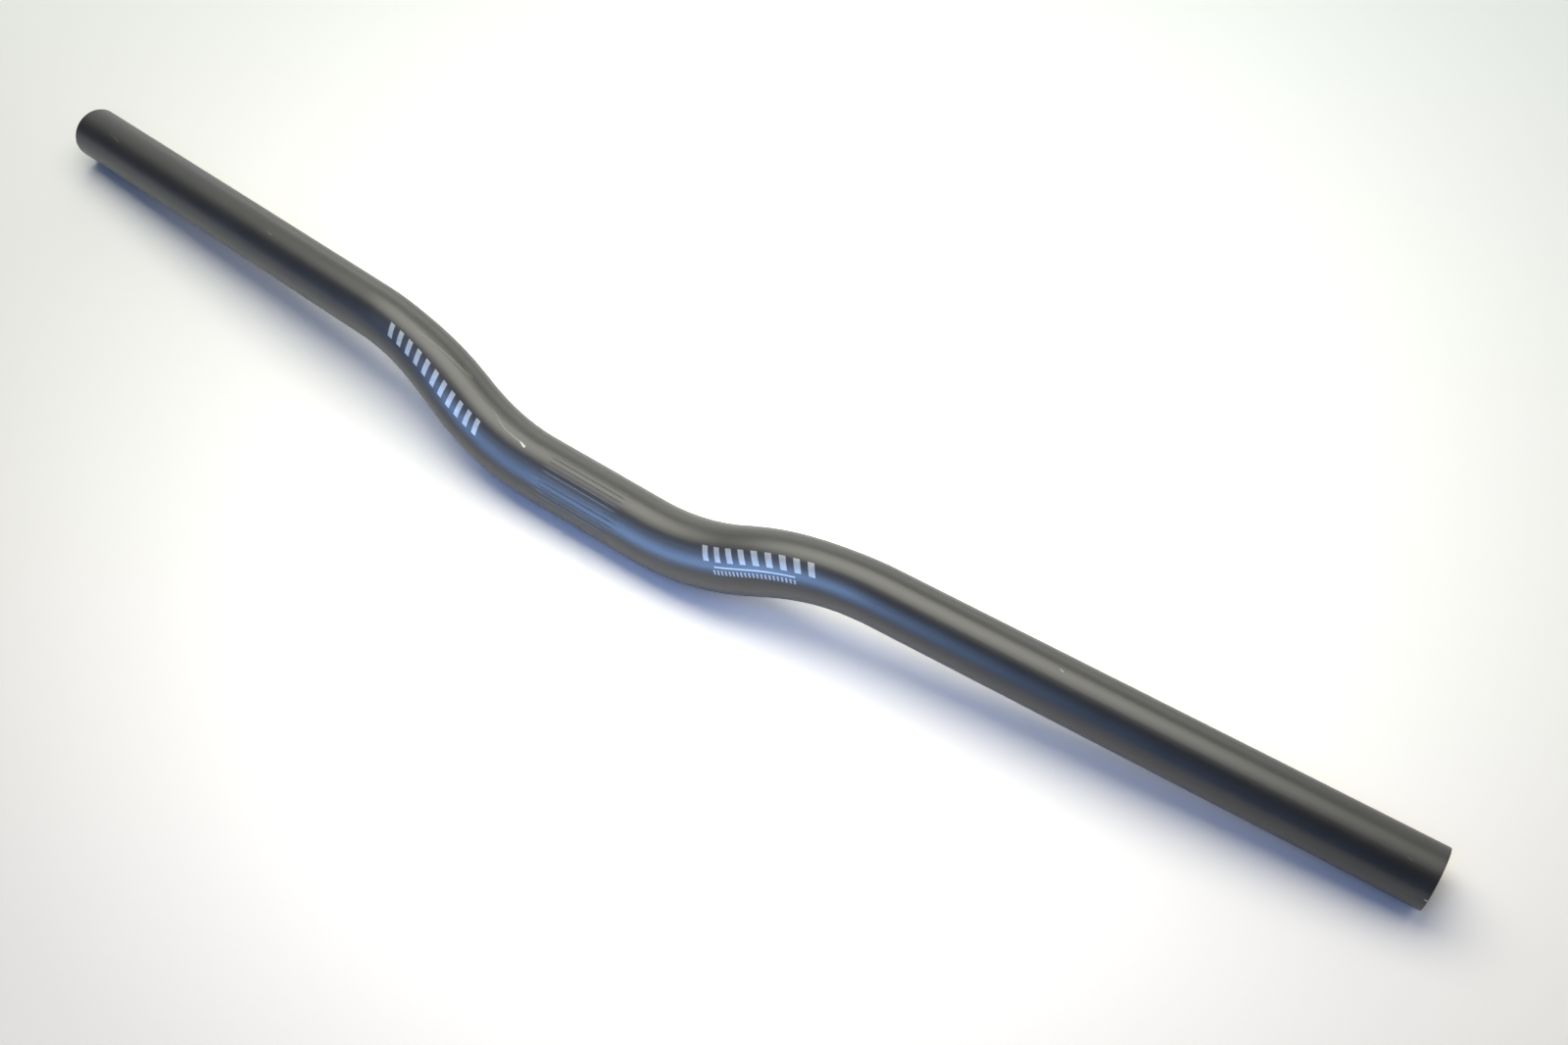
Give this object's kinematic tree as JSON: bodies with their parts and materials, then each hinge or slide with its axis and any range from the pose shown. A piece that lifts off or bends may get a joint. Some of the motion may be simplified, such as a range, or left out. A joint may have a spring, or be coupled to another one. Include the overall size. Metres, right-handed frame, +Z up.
{
  "type": "riser handlebar",
  "caption": "Bicycle riser handlebar: a bent, butted aluminium tube with a grooved stem clamp zone, rising bends and open grip ends swept back.",
  "frame": {"origin": "middle of the stem clamp zone, on the tube's axis; the floor it lies on is at z = -12.7 mm", "axes": "+X along the clamp zone, +Y from the front of the bar towards its swept-back ends, +Z up, with the bar lying on a floor on its clamp zone and both end rims"},
  "size_m": [0.6426, 0.0563, 0.0395],
  "materials": {
    "anodised_aluminium": "satin black anodised"
  },
  "bodies": {
    "root": {"handlebar": "anodised_aluminium"}
  },
  "joints": []
}
